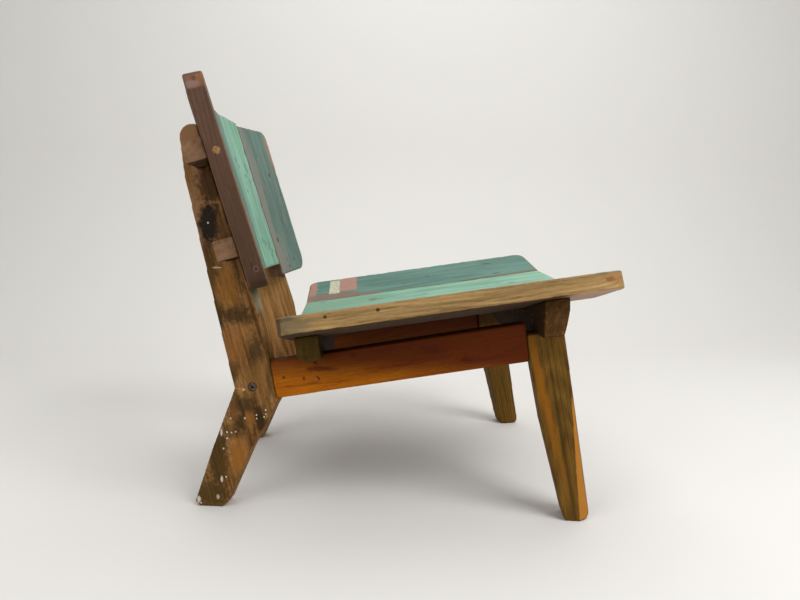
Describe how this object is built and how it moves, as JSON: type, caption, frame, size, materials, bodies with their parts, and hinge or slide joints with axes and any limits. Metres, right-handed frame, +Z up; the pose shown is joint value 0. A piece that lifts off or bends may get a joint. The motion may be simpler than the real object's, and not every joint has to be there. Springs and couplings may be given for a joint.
{
  "type": "lounge chair",
  "caption": "Low lounge chair without arms, of reclaimed painted boat wood: curved seat and back of planks on beams and splayed side frames.",
  "frame": {"origin": "middle of the chair's outline on the floor", "axes": "+X forward, where the sitter looks; +Y to the sitter's left; +Z up"},
  "size_m": [0.7082, 0.6352, 0.7104],
  "materials": {
    "tan_wood": "weathered bare wood, waxed",
    "mint_paint": "worn mint green paint over wood",
    "teal_paint": "worn teal paint over wood",
    "brown_stain": "dark brown stain, worn at the edges",
    "dark_wood": "weathered dark wood, waxed",
    "orange_wood": "orange brown wood, waxed",
    "brown_wood": "striped brown wood, waxed",
    "pale_wood": "bare wood",
    "steel": "plain zinc plated",
    "rusty_steel": "rusted"
  },
  "bodies": {
    "root": {"seat_plank_right_outer": "tan_wood", "seat_plank_right_inner": "mint_paint", "seat_plank_left_inner": "mint_paint", "seat_plank_left_outer": "teal_paint", "back_plank_right_outer": "brown_stain", "back_plank_right_inner": "teal_paint", "back_plank_left_inner": "mint_paint", "back_plank_left_outer": "teal_paint", "front_seat_beam": "dark_wood", "rear_seat_beam": "dark_wood", "upper_back_beam": "dark_wood", "lower_back_beam": "dark_wood", "right_apron": "orange_wood", "left_apron": "orange_wood", "right_front_leg": "brown_wood", "left_front_leg": "brown_wood", "right_rear_leg": "brown_wood", "left_rear_leg": "brown_wood", "knee_bolts": "steel", "knee_washers": "steel", "seat_screws": "steel", "back_screws": "steel", "seat_dowels": "pale_wood", "back_dowels": "pale_wood", "front_beam_pegs": "pale_wood", "rear_beam_pegs": "pale_wood", "back_beam_pegs": "pale_wood", "back_edge_plugs": "pale_wood", "seat_edge_nails": "rusty_steel"}
  },
  "joints": []
}
